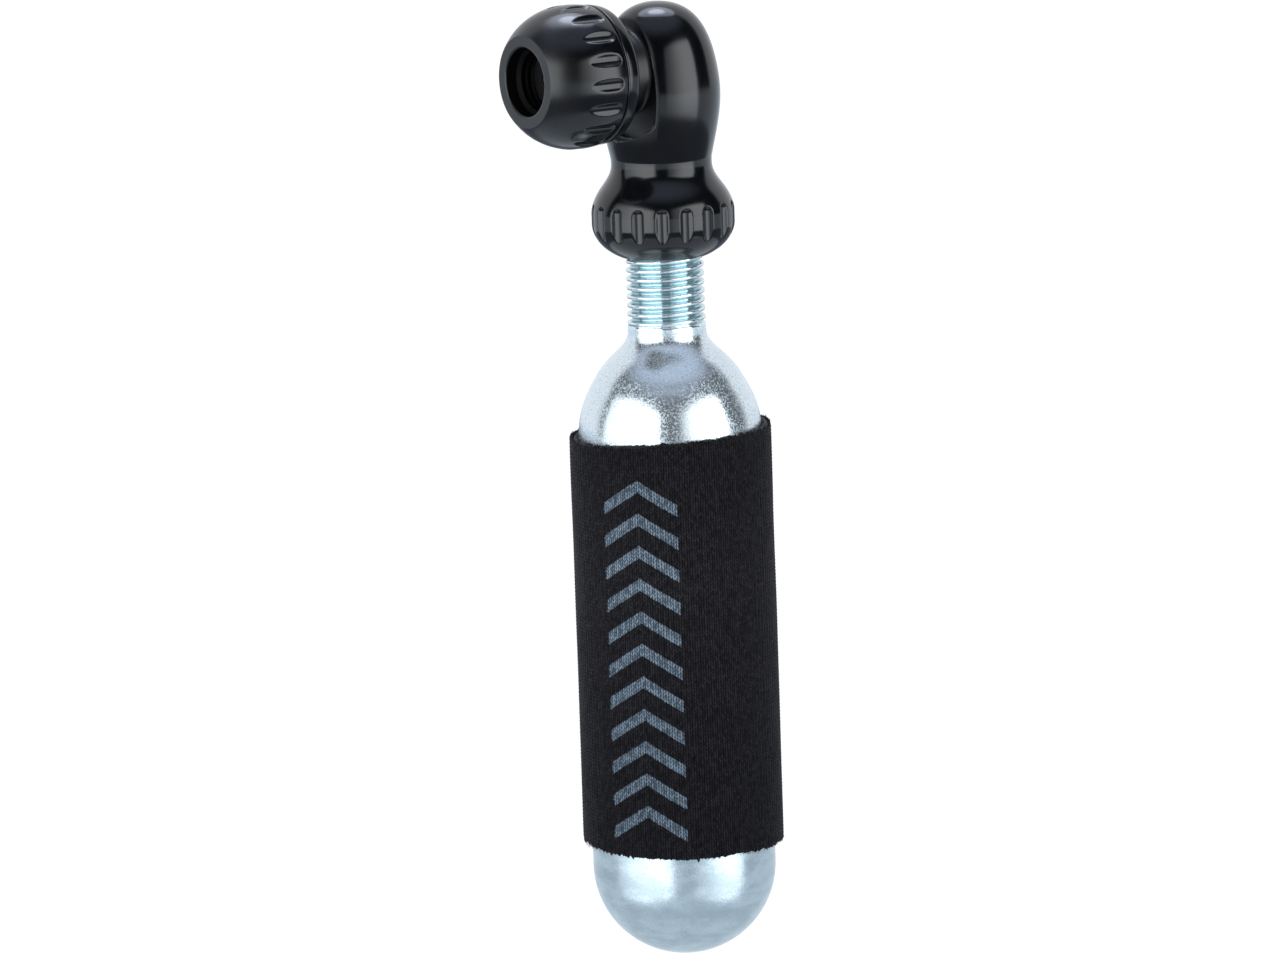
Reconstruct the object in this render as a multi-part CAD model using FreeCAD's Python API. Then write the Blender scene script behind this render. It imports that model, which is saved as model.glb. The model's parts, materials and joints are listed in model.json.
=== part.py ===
"""CO2 tyre inflator: an elbow head with a ball-shaped valve chuck, a threaded gas
cartridge and a knit-faced foam sleeve.

Frame, in millimetres: the origin is the centre of the valve socket's mouth, the chuck's
axis runs along X with the mouth facing -X, and the cartridge's axis is vertical, below
the head.
"""
import FreeCAD
import Part

import math
import os

os.makedirs("parts", exist_ok=True)

# ---------------------------------------------------------------- driving dimensions
CART_X = 19.0                # from the socket's mouth to the cartridge's axis
TOP_Z = 7.9                  # top of the head's bulb
COLLAR_Z = -22.75            # lower rim of the head's collar
BASE_Z = -107.5              # lowest point of the cartridge

# cartridge
CART_R = 11.0                # 22 mm bottle
CART_WALL = 1.1
SHOULDER_Z = -45.4           # where the shoulder meets the straight wall
NECK_FOOT_Z = -31.9          # where the shoulder meets the neck
NECK_TOP_Z = -19.0           # end of the threaded neck, part-way up the collar
NECK_BORE_R = 2.4
NECK_SPARE = 4.0             # extra neck that is threaded and then cut off
CART_BASE = 1.6              # thickness of the bottle's base
CAP_RECESS_R = 3.25
THREAD_PITCH = 25.4 / 24.0   # 3/8-24 thread
THREAD_CREST_R = 4.70
THREAD_ROOT_R = 4.10
THREAD_END_Z = -30.9         # where the neck's thread runs out above the shoulder
THREAD_CREST_HALF = THREAD_PITCH / 16.0
THREAD_GAP = 0.11            # clearance between two threads' flanks and crests
FLANK = math.tan(math.radians(30.0))
SINK = 0.1                   # how far a thread's cutter stands out of its bore or bar

# head
COLLAR_R = 8.6
NECK_R = 6.0
NECK_Z = -11.0
BULB_R = 7.35
SOCKET_R = 4.30              # bore of the collar, between its thread's grooves
SOCKET_TOP_Z = -13.0
LINER_R = 5.16               # outside of the socket's threaded wall, inside the rim
SEAT_R = 4.0
SEAT_TOP_Z = -8.4
GAS_R = 1.3
LANCE_R = 1.2
LANCE_TIP_Z = -15.5
FLUTES = 18                  # on the collar and on the ball
FLUTE_R = 1.05
COLLAR_FLUTE_DEPTH = 0.38
COLLAR_FLUTE_Z = (-20.35, -16.05)
COLLAR_FLUTE_PHASE = 15.2    # degrees from -Y towards -X
FACE_X = 14.6                # flat turned on the bulb, facing the chuck
FACE_R = 8.2
BOSS_R = 4.9

# ball chuck
MOUTH_R = 4.07               # plain lead-in of the valve socket
MOUTH_LENGTH = 1.5
VALVE_PITCH = 25.4 / 32.0    # Schrader valve thread, 7.75 mm by 32 per inch
VALVE_CREST_R = 3.52
VALVE_ROOT_R = 3.93
VALVE_THREAD_END_X = 5.0
BALL_R = 8.55
BALL_X = 6.55                # centre of the ball
BALL_FACE_R = 5.5
BALL_END_X = 9.08
BALL_END_R = 8.32
BALL_FLUTE_DEPTH = 0.22
BALL_FLUTE_R = 1.45
BALL_FLUTE_PHASE = 2.2       # degrees below the -Y side
RING_START_X = 9.2
RING_END_X = 11.3
RING_R = 8.3
RING_BORE_R = 4.2            # fits over the spigot's shank
RING_RECESS_R = 5.25         # takes the spigot's shoulder

# threaded spigot that carries the ball
SPIGOT_PITCH = 1.0
SPIGOT_CREST_R = 5.0
SPIGOT_CREST_HALF = 0.08
SPIGOT_ROOT_R = 4.45
SPIGOT_TIP_X = 5.55
THREAD_START_X = 6.45
THREAD_STOP_X = 8.3
SPIGOT_HELIX_X = 5.3         # where a crest of the spigot's thread would cross the +Z side
BALL_BORE_R = 4.67           # bore of the ball, between its thread's grooves
BALL_LINER_R = 5.35
BALL_THREAD_X = 6.35
SHANK_R = 3.4
SHANK_END_X = 15.6

# sleeve
SLEEVE_IN_R = CART_R + 0.06
SLEEVE_LINING = 0.16
SLEEVE_FOAM = 0.66
SLEEVE_FACE = 0.24
SLEEVE_TOP_Z = -43.0
SLEEVE_BOTTOM_Z = -93.4
SLEEVE_TOP_TILT = 2.6        # degrees, the hand-cut rims are not quite square
SLEEVE_BOTTOM_TILT = -1.1
SLEEVE_FRONT = 33.0          # degrees from -Y towards -X, the printed side

V = FreeCAD.Vector
UP = V(0, 0, 1)
CHUCK_AXIS = V(1, 0, 0)
AXIS_POINT = V(CART_X, 0, 0)


# ---------------------------------------------------------------- helpers
def line(start, end):
    return Part.makeLine(start, end)


def arc(start, middle, end):
    return Part.Arc(start, middle, end).toShape()


def spline(points, start_way, end_way):
    """A smooth curve through a few points, with its two end directions."""
    curve = Part.BSplineCurve()
    curve.interpolate(Points=points, InitialTangent=start_way, FinalTangent=end_way)
    return curve.toShape()


def upright(radius, height):
    """A point of a profile that turns about the cartridge's axis."""
    return V(CART_X + radius, 0, height)


def turned(edges, point=AXIS_POINT, axis=UP):
    face = Part.Face(Part.Wire(edges))
    return face.revolve(point, axis, 360)


def turned_upright(corners):
    """A straight-sided profile of (radius, height) turned about the cartridge's axis."""
    points = [upright(radius, height) for radius, height in corners]
    points.append(points[0])
    return turned([line(a, b) for a, b in zip(points, points[1:])])


def turned_chuck(corners):
    """A straight-sided profile of (x, radius) turned about the chuck's axis."""
    points = [V(x, 0, radius) for x, radius in corners]
    points.append(points[0])
    return turned([line(a, b) for a, b in zip(points, points[1:])], V(0, 0, 0), CHUCK_AXIS)


def bar(radius, start, end):
    """A round bar between two points."""
    return Part.makeCylinder(radius, (end - start).Length, start, end - start)


def o_ring(centre, axis, ring_radius, cord_radius):
    return Part.makeTorus(ring_radius, cord_radius, centre, axis)


def helical_bar(pitch, length, inner_r, inner_half, outer_r, outer_half):
    """A right-handed helical bar about Z from height 0, for cutting a thread's groove."""
    corners = [V(inner_r, 0, -inner_half), V(outer_r, 0, -outer_half),
               V(outer_r, 0, outer_half), V(inner_r, 0, inner_half)]
    section = Part.makePolygon(corners + corners[:1])
    helix = Part.makeHelix(pitch, length, inner_r)
    return Part.Wire(helix).makePipeShell([section], True, True)


def outside_groove(pitch, length, root_r, crest_r, crest_half):
    """The 60-degree groove between the crests of an outside thread."""
    crest_space = pitch / 2.0 - crest_half
    return helical_bar(pitch, length, root_r, crest_space - (crest_r - root_r) * FLANK,
                       crest_r + SINK, crest_space + SINK * FLANK)


def inside_groove(pitch, length, bore_r, root_r, root_half):
    """The 60-degree groove of an inside thread, open towards the bore."""
    return helical_bar(pitch, length, bore_r - SINK,
                       root_half + (root_r - bore_r + SINK) * FLANK, root_r, root_half)


def clear_half(crest_half):
    """Half the floor of a groove that clears a thread's crest by THREAD_GAP all round."""
    return crest_half + THREAD_GAP / math.cos(math.radians(30.0)) - THREAD_GAP * FLANK


def along_chuck(shape, start_x):
    """Lay an upright shape along the chuck's axis, starting at a given x."""
    shape.rotate(V(0, 0, 0), V(0, 1, 0), 90)
    shape.translate(V(start_x, 0, 0))
    return shape


def on_neck_helix(groove, start_z, crest_z):
    """Stand a groove on the cartridge's axis, turned into step with a crest at crest_z."""
    groove.rotate(V(0, 0, 0), UP, 360.0 * (start_z - crest_z) / THREAD_PITCH)
    groove.translate(V(CART_X, 0, start_z))
    return groove


def check(shape, name):
    if not shape.isValid() or not shape.Solids:
        raise SystemExit(name + " is not a valid solid")
    return shape


# ---------------------------------------------------------------- cartridge
def cartridge_blank():
    """Drawn steel bottle: round base, long shoulder and a plain neck, left too long."""
    base_z = BASE_Z + CART_R
    diagonal = math.sqrt(0.5)
    end_z = NECK_TOP_Z + NECK_SPARE
    inner_r = CART_R - CART_WALL
    inner_z = BASE_Z + CART_BASE + inner_r
    edges = [
        arc(upright(0, BASE_Z), upright(CART_R * diagonal, base_z - CART_R * diagonal),
            upright(CART_R, base_z)),
        line(upright(CART_R, base_z), upright(CART_R, SHOULDER_Z)),
        spline([upright(CART_R, SHOULDER_Z), upright(10.75, -41.8), upright(9.3, -37.95),
                upright(7.0, -34.75), upright(THREAD_CREST_R, NECK_FOOT_Z)],
               V(0, 0, 1), V(-0.25, 0, 1)),
        line(upright(THREAD_CREST_R, NECK_FOOT_Z), upright(THREAD_CREST_R, end_z)),
        line(upright(THREAD_CREST_R, end_z), upright(NECK_BORE_R, end_z)),
        line(upright(NECK_BORE_R, end_z), upright(NECK_BORE_R, -33.0)),
        spline([upright(NECK_BORE_R, -33.0), upright(5.6, -36.1), upright(8.1, -39.2),
                upright(9.6, -42.6), upright(inner_r, -46.0)], V(0.2, 0, -1), V(0, 0, -1)),
        line(upright(inner_r, -46.0), upright(inner_r, inner_z)),
        arc(upright(inner_r, inner_z), upright(inner_r * diagonal, inner_z - inner_r * diagonal),
            upright(0, inner_z - inner_r)),
        line(upright(0, inner_z - inner_r), upright(0, BASE_Z)),
    ]
    return turned(edges)


def cartridge_shell():
    """The bottle with its neck threaded, cut to length and recessed for the seal cap."""
    groove = outside_groove(THREAD_PITCH, NECK_TOP_Z + NECK_SPARE / 2 - THREAD_END_Z,
                            THREAD_ROOT_R, THREAD_CREST_R, THREAD_CREST_HALF)
    groove = on_neck_helix(groove, THREAD_END_Z, THREAD_END_Z + THREAD_PITCH / 2)
    beyond = NECK_TOP_Z + NECK_SPARE + 1.0
    trim = turned_upright([(3.85, NECK_TOP_Z), (5.2, NECK_TOP_Z - 1.35), (5.2, beyond),
                           (0, beyond), (0, NECK_TOP_Z)])
    recess = bar(CAP_RECESS_R, V(CART_X, 0, NECK_TOP_Z - 0.5), V(CART_X, 0, beyond))
    return cartridge_blank().cut(groove).cut(trim).cut(recess)


def cartridge_seal_cap():
    """Thin steel cap in the neck's end, with the round hole the lance leaves in it."""
    return turned_upright([(1.45, NECK_TOP_Z - 0.45), (3.2, NECK_TOP_Z - 0.45),
                           (3.2, NECK_TOP_Z - 0.05), (1.45, NECK_TOP_Z - 0.05)])


# ---------------------------------------------------------------- head
def head_blank():
    """Turned outside of the head: fluted collar, narrow neck and rounded bulb."""
    rim = upright(5.2, COLLAR_Z)
    collar_low = upright(COLLAR_R, -18.7)
    collar_high = upright(COLLAR_R, -17.2)
    waist_low = upright(NECK_R, NECK_Z - 0.25)
    waist_high = upright(NECK_R + 0.02, NECK_Z + 0.25)
    edges = [
        line(upright(0, COLLAR_Z), rim),
        arc(rim, upright(7.63, -21.22), collar_low),
        line(collar_low, collar_high),
        spline([collar_high, upright(8.28, -15.8), upright(7.5, -14.45),
                upright(6.55, -13.1), upright(6.08, -12.05), waist_low],
               V(0, 0, 1), V(0, 0, 1)),
        line(waist_low, waist_high),
        spline([waist_high, upright(6.75, -7.9), upright(7.27, -4.6), upright(BULB_R, -2.4),
                upright(7.0, 0.65), upright(5.95, 4.25), upright(4.3, 6.5),
                upright(2.3, 7.62), upright(0, TOP_Z)],
               V(0.2, 0, 1), V(-1, 0, 0)),
        line(upright(0, TOP_Z), upright(0, COLLAR_Z)),
    ]
    return turned(edges)


def collar_flutes():
    """Round-bottomed grooves with rounded ends around the collar."""
    centre_r = COLLAR_R - COLLAR_FLUTE_DEPTH + FLUTE_R
    low, high = COLLAR_FLUTE_Z
    cutters = []
    for step in range(FLUTES):
        angle = math.radians(COLLAR_FLUTE_PHASE + 360.0 * step / FLUTES)
        x = CART_X - centre_r * math.sin(angle)
        y = -centre_r * math.cos(angle)
        start = V(x, y, low + FLUTE_R * 0.6)
        end = V(x, y, high - FLUTE_R * 0.6)
        cutters.append(bar(FLUTE_R, start, end))
        cutters.append(Part.makeSphere(FLUTE_R, start))
        cutters.append(Part.makeSphere(FLUTE_R, end))
    return cutters


def socket_liner():
    """The threaded wall of the socket, cut as a tube and trimmed to the collar."""
    low = COLLAR_Z - 3.0
    high = SOCKET_TOP_Z + 1.0
    start_z = COLLAR_Z - 2.0
    tube = turned_upright([(SOCKET_R, low), (LINER_R, low), (LINER_R, high), (SOCKET_R, high)])
    groove = inside_groove(THREAD_PITCH, SOCKET_TOP_Z - start_z - 0.4, SOCKET_R,
                           THREAD_CREST_R + THREAD_GAP, clear_half(THREAD_CREST_HALF))
    limit = turned_upright([(5.1, COLLAR_Z), (LINER_R, COLLAR_Z), (LINER_R, SOCKET_TOP_Z),
                            (0, SOCKET_TOP_Z), (0, COLLAR_Z + 0.8),
                            (SOCKET_R, COLLAR_Z + 0.8)])
    return tube.cut(on_neck_helix(groove, start_z, THREAD_END_Z)).common(limit)


def head_shell():
    """One-piece elbow, with the flat and the boss that face the chuck."""
    swing = bar(FACE_R, V(0, 0, 0), V(FACE_X, 0, 0))
    boss = bar(BOSS_R, V(RING_END_X, 0, 0), V(FACE_X + 2.0, 0, 0))
    body = head_blank().cut(swing).fuse(boss).removeSplitter()
    body = body.cut(collar_flutes())
    bores = turned_upright([(0, COLLAR_Z - 1.0), (LINER_R, COLLAR_Z - 1.0),
                            (LINER_R, SOCKET_TOP_Z), (SEAT_R, SOCKET_TOP_Z),
                            (SEAT_R, SEAT_TOP_Z), (GAS_R, SEAT_TOP_Z), (GAS_R, 0), (0, 0)])
    shank_bore = bar(SHANK_R, V(RING_END_X - 0.1, 0, 0), V(SHANK_END_X + 0.2, 0, 0))
    gas_way = bar(GAS_R, V(SHANK_END_X, 0, 0), V(CART_X + 0.3, 0, 0))
    return body.cut(bores).cut(shank_bore).cut(gas_way).fuse(socket_liner())


def lance_carrier():
    """Brass plug at the top of the socket, with four gas holes round the lance."""
    plug = turned_upright([(LANCE_R, -10.9), (SEAT_R, -10.9), (SEAT_R, -10.3), (3.3, -10.3),
                           (3.3, -9.2), (SEAT_R, -9.2), (SEAT_R, SEAT_TOP_Z),
                           (LANCE_R, SEAT_TOP_Z)])
    holes = []
    for quarter in range(4):
        angle = math.radians(45 + 90 * quarter)
        x = CART_X + 2.2 * math.cos(angle)
        y = 2.2 * math.sin(angle)
        holes.append(bar(0.45, V(x, y, -11.0), V(x, y, SEAT_TOP_Z + 0.1)))
    return plug.cut(holes)


def carrier_o_ring():
    return o_ring(V(CART_X, 0, -9.75), UP, 3.65, 0.34)


def piercing_lance():
    """Hollow steel pin with a slanted point, which pierces the cartridge's cap."""
    pin = bar(LANCE_R, V(CART_X, 0, LANCE_TIP_Z), V(CART_X, 0, SEAT_TOP_Z))
    slant = Part.makeBox(8, 8, 8, V(-4, -4, -8))
    slant.rotate(V(0, 0, 0), V(0, 1, 0), 48)
    slant.translate(V(CART_X, 0, LANCE_TIP_Z + 1.1))
    bore = bar(0.45, V(CART_X, 0, LANCE_TIP_Z - 1.0), V(CART_X, 0, SEAT_TOP_Z + 0.1))
    return pin.cut([slant, bore])


def cartridge_face_seal():
    """Rubber washer that the neck's end presses on when it is screwed home."""
    return turned_upright([(1.3, -13.3), (SEAT_R - 0.02, -13.3), (SEAT_R - 0.02, -10.95),
                           (1.3, -10.95)])


# ---------------------------------------------------------------- spigot and rear ring
def threaded_spigot():
    """Threaded tube that joins the ball to the head, with a shoulder behind the ring."""
    front = turned_chuck([(SPIGOT_TIP_X, GAS_R), (SPIGOT_TIP_X, 3.6),
                          (SPIGOT_TIP_X + 0.25, 3.85), (THREAD_START_X, 3.85),
                          (THREAD_START_X, GAS_R)])
    rear = turned_chuck([(THREAD_STOP_X, GAS_R), (THREAD_STOP_X, 4.3),
                         (RING_START_X - 0.15, 4.3), (RING_START_X - 0.15, 5.2),
                         (RING_START_X + 0.55, 5.2), (RING_START_X + 0.55, RING_BORE_R),
                         (RING_END_X, RING_BORE_R), (RING_END_X, SHANK_R), (SHANK_END_X, SHANK_R),
                         (SHANK_END_X, GAS_R)])
    rod = bar(SPIGOT_CREST_R, V(SPIGOT_HELIX_X - 1, 0, 0), V(SPIGOT_HELIX_X + 5, 0, 0))
    groove = outside_groove(SPIGOT_PITCH, 4 * SPIGOT_PITCH, SPIGOT_ROOT_R, SPIGOT_CREST_R,
                            SPIGOT_CREST_HALF)
    limit = turned_chuck([(THREAD_START_X, GAS_R), (THREAD_START_X, SPIGOT_ROOT_R),
                          (THREAD_START_X + 0.55, 5.1), (THREAD_STOP_X - 0.3, 5.1),
                          (THREAD_STOP_X, 4.8), (THREAD_STOP_X, GAS_R)])
    thread = rod.cut(along_chuck(groove, SPIGOT_HELIX_X + SPIGOT_PITCH / 2)).common(limit)
    return thread.fuse(front).fuse(rear)


def ball_liner():
    """The ball's threaded wall round the spigot, cut as a tube and trimmed."""
    tube = turned_chuck([(BALL_THREAD_X - 2, BALL_BORE_R), (BALL_THREAD_X - 2, BALL_LINER_R),
                         (10.6, BALL_LINER_R), (10.6, BALL_BORE_R)])
    groove = inside_groove(SPIGOT_PITCH, 4.6, BALL_BORE_R, SPIGOT_CREST_R + THREAD_GAP,
                           clear_half(SPIGOT_CREST_HALF))
    limit = turned_chuck([(BALL_THREAD_X, 4), (BALL_THREAD_X, BALL_LINER_R),
                          (8.75, BALL_LINER_R), (8.6, BALL_BORE_R), (8.6, 4)])
    return tube.cut(along_chuck(groove, SPIGOT_HELIX_X)).common(limit)


def spigot_o_ring():
    return o_ring(V(6.05, 0, 0), CHUCK_AXIS, 4.05, 0.2)


def shank_o_ring():
    """Seal between the ring and the head's boss, in a groove of the spigot's shank."""
    return o_ring(V(RING_END_X - 0.35, 0, 0), CHUCK_AXIS, 4.62, 0.3)


def chuck_rear_ring():
    """Rounded ring that finishes the ball's back and stays with the head."""
    edges = [
        line(V(RING_START_X, 0, RING_RECESS_R), V(RING_START_X, 0, RING_R - 0.12)),
        line(V(RING_START_X, 0, RING_R - 0.12), V(RING_START_X + 0.12, 0, RING_R)),
        spline([V(RING_START_X + 0.12, 0, RING_R), V(10.2, 0, 8.2), V(10.85, 0, 7.95),
                V(11.2, 0, 7.5), V(RING_END_X, 0, 6.95)], V(1, 0, -0.02), V(0.02, 0, -1)),
        line(V(RING_END_X, 0, 6.95), V(RING_END_X, 0, 5.0)),
        line(V(RING_END_X, 0, 5.0), V(RING_END_X - 0.7, 0, 5.0)),
        line(V(RING_END_X - 0.7, 0, 5.0), V(RING_END_X - 0.7, 0, RING_BORE_R)),
        line(V(RING_END_X - 0.7, 0, RING_BORE_R), V(RING_START_X + 0.6, 0, RING_BORE_R)),
        line(V(RING_START_X + 0.6, 0, RING_BORE_R), V(RING_START_X + 0.6, 0, RING_RECESS_R)),
        line(V(RING_START_X + 0.6, 0, RING_RECESS_R), V(RING_START_X, 0, RING_RECESS_R)),
    ]
    return turned(edges, V(0, 0, 0), CHUCK_AXIS)


# ---------------------------------------------------------------- ball chuck
def ball_flutes():
    """Shallow almond-shaped scoops round the ball's widest part."""
    centre_r = BALL_R - BALL_FLUTE_DEPTH + BALL_FLUTE_R
    cutters = []
    for step in range(FLUTES):
        angle = math.radians(BALL_FLUTE_PHASE + 360.0 * step / FLUTES)
        y = -centre_r * math.cos(angle)
        z = -centre_r * math.sin(angle)
        cutters.append(bar(BALL_FLUTE_R, V(3.0, y, z), V(7.6, y, z)))
        cutters.append(Part.makeSphere(BALL_FLUTE_R, V(7.6, y, z)))
    return cutters


def chuck_ball():
    """Fluted ball with the valve socket in front and the spigot's thread behind."""
    lean = math.radians(45.0)
    shoulder = V(BALL_X - BALL_R * math.cos(lean), 0, BALL_R * math.sin(lean))
    start = V(0, 0, BALL_FACE_R)
    crown = V(BALL_X, 0, BALL_R)
    rear = V(BALL_END_X - 0.12, 0, BALL_END_R)
    edges = [
        line(V(0, 0, 0), start),
        arc(start, shoulder, crown),
        spline([crown, rear], V(1, 0, 0), V(1, 0, -0.18)),
        line(rear, V(BALL_END_X, 0, BALL_END_R - 0.12)),
        line(V(BALL_END_X, 0, BALL_END_R - 0.12), V(BALL_END_X, 0, 0)),
        line(V(BALL_END_X, 0, 0), V(0, 0, 0)),
    ]
    blank = turned(edges, V(0, 0, 0), CHUCK_AXIS)
    bore = turned_chuck([(-1, 0), (-1, MOUTH_R), (MOUTH_LENGTH, MOUTH_R),
                         (MOUTH_LENGTH + 0.35, VALVE_CREST_R), (VALVE_THREAD_END_X, VALVE_CREST_R),
                         (VALVE_THREAD_END_X, 4.3), (BALL_THREAD_X, 4.3),
                         (BALL_THREAD_X, BALL_LINER_R), (10, BALL_LINER_R), (10, 0)])
    valve_groove = inside_groove(VALVE_PITCH, VALVE_THREAD_END_X - MOUTH_LENGTH,
                                 VALVE_CREST_R, VALVE_ROOT_R, 0.08)
    bored = blank.cut(ball_flutes()).cut(bore)
    return bored.cut(along_chuck(valve_groove, MOUTH_LENGTH)).fuse(ball_liner())


def valve_gasket():
    """Rubber washer that seals on the end of the valve stem."""
    return turned_chuck([(3.55, 1.6), (3.55, 3.3), (4.95, 3.3), (4.95, 1.6)])


def core_depressor():
    """Pin on a holed disc, which pushes the valve's core in."""
    disc = turned_chuck([(3.0, 0), (3.0, 0.5), (3.2, 0.7), (5.05, 0.7), (5.05, 4.2), (5.45, 4.2),
                         (5.45, 0)])
    holes = []
    for third in range(3):
        angle = math.radians(90 + 120 * third)
        y = 1.9 * math.cos(angle)
        z = 1.9 * math.sin(angle)
        holes.append(bar(0.6, V(4.9, y, z), V(5.6, y, z)))
    return disc.cut(holes)


# ---------------------------------------------------------------- sleeve
def sleeve_cut():
    """Space between the sleeve's two slightly tilted rims."""
    front = math.radians(SLEEVE_FRONT)
    towards_front = V(-math.sin(front), -math.cos(front), 0)
    middle_z = (SLEEVE_TOP_Z + SLEEVE_BOTTOM_Z) / 2
    box = Part.makeBox(60, 60, 60, V(CART_X - 30, -30, middle_z - 30))
    top = Part.makeBox(80, 80, 40, V(CART_X - 40, -40, SLEEVE_TOP_Z))
    top.rotate(V(CART_X, 0, SLEEVE_TOP_Z), towards_front, SLEEVE_TOP_TILT)
    low = Part.makeBox(80, 80, 40, V(CART_X - 40, -40, SLEEVE_BOTTOM_Z - 40))
    low.rotate(V(CART_X, 0, SLEEVE_BOTTOM_Z), towards_front, SLEEVE_BOTTOM_TILT)
    return box.cut([top, low])


def sleeve_layer(inner_r, thickness):
    """One layer of the foam fabric, cut to the sleeve's rims."""
    tube = turned_upright([(inner_r, SLEEVE_BOTTOM_Z - 3), (inner_r + thickness, SLEEVE_BOTTOM_Z - 3),
                           (inner_r + thickness, SLEEVE_TOP_Z + 3), (inner_r, SLEEVE_TOP_Z + 3)])
    return tube.common(sleeve_cut())


def sleeve_lining():
    return sleeve_layer(SLEEVE_IN_R, SLEEVE_LINING)


def sleeve_foam():
    return sleeve_layer(SLEEVE_IN_R + SLEEVE_LINING, SLEEVE_FOAM)


def sleeve_knit_face():
    return sleeve_layer(SLEEVE_IN_R + SLEEVE_LINING + SLEEVE_FOAM, SLEEVE_FACE)


def sleeve_seam_thread():
    """Short thread stitches that close the sleeve at its back."""
    back = math.radians(SLEEVE_FRONT + 180.0)
    radius = SLEEVE_IN_R + SLEEVE_LINING + SLEEVE_FOAM + SLEEVE_FACE + 0.11
    pitch = 2.1
    stitches = []
    for step in range(23):
        z = SLEEVE_BOTTOM_Z + 1.9 + pitch * step
        lean = math.radians(5.0 if step % 2 else -5.0)
        ends = []
        for side, height in ((-1, -0.75), (1, 0.75)):
            angle = back + side * lean
            ends.append(V(CART_X - radius * math.sin(angle), -radius * math.cos(angle), z + height))
        stitches.append(bar(0.1, ends[0], ends[1]))
    return Part.makeCompound(stitches)


# ---------------------------------------------------------------- all the parts
PARTS = {
    "head_shell": head_shell,
    "lance_carrier": lance_carrier,
    "carrier_o_ring": carrier_o_ring,
    "piercing_lance": piercing_lance,
    "cartridge_face_seal": cartridge_face_seal,
    "threaded_spigot": threaded_spigot,
    "spigot_o_ring": spigot_o_ring,
    "shank_o_ring": shank_o_ring,
    "chuck_rear_ring": chuck_rear_ring,
    "chuck_ball": chuck_ball,
    "valve_gasket": valve_gasket,
    "core_depressor": core_depressor,
    "cartridge_shell": cartridge_shell,
    "cartridge_seal_cap": cartridge_seal_cap,
    "sleeve_lining": sleeve_lining,
    "sleeve_foam": sleeve_foam,
    "sleeve_knit_face": sleeve_knit_face,
    "sleeve_seam_thread": sleeve_seam_thread,
}

for node, make in PARTS.items():
    shape = check(make(), node)
    shape.exportStep("parts/" + node + ".step")
    print(node, round(shape.Volume, 2), len(shape.Solids), len(shape.Faces))
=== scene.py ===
import json
import math

import bpy
import numpy as np
from mathutils import Matrix, Vector


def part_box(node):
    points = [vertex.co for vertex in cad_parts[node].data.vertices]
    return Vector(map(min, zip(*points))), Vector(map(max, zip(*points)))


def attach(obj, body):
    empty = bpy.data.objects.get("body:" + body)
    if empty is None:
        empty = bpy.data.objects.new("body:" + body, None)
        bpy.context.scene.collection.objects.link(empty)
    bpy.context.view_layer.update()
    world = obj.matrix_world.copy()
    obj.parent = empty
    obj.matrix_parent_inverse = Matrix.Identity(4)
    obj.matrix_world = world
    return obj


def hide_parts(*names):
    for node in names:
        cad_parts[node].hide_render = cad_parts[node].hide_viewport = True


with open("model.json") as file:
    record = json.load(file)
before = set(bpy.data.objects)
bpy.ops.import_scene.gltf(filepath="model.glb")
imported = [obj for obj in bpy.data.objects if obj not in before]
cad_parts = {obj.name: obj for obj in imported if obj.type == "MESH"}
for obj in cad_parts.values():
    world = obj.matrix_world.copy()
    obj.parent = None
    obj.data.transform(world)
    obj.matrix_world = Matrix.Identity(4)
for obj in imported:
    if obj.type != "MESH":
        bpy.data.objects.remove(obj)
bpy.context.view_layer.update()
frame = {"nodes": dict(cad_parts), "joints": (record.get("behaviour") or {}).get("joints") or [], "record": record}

# Sizes are in millimetres and become metres when a mesh is made.
MM = 0.001
TAU = 2.0 * math.pi
NODES = frame["nodes"]
RECORD = frame["record"]
JOINTS = {joint["name"]: joint for joint in frame["joints"]}
DRAW = np.random.default_rng(7)


def box_mm(node):
    """Lowest and highest corner of a CAD node, in millimetres."""
    low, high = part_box(node)
    return np.array(low) / MM, np.array(high) / MM


# ---------------------------------------------------------------- driving sizes
AXIS_X = JOINTS["cartridge_turn"]["pos_m"][0] / MM      # the cartridge's axis
MOUTH = next(m for m in RECORD["mounts"] if m["name"] == "valve_socket")["dims"]
HEAD_HIGH = box_mm("head_shell")[1]
BALL_HIGH = box_mm("chuck_ball")[1]
RING_LOW, RING_HIGH = box_mm("chuck_rear_ring")
CART_LOW, CART_HIGH = box_mm("cartridge_shell")

FLUTES = 18                  # round the collar, and round the ball
VIEW_AZIMUTH = -34.0         # degrees; the side of the object that faces the camera
TOWARDS_CAMERA = np.array([math.sin(math.radians(VIEW_AZIMUTH)),
                           -math.cos(math.radians(VIEW_AZIMUTH)), 0.0])
CAMERA_RIGHT = np.array([-TOWARDS_CAMERA[1], TOWARDS_CAMERA[0], 0.0])


# ---------------------------------------------------------------- curves
OUTLINE_SPACING = 0.015      # between the points of an outline
BEND_STEP = 7.0              # degrees; the most that one row turns from the next
BEND_SMOOTHING = 9           # points that a bend is averaged over


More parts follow.
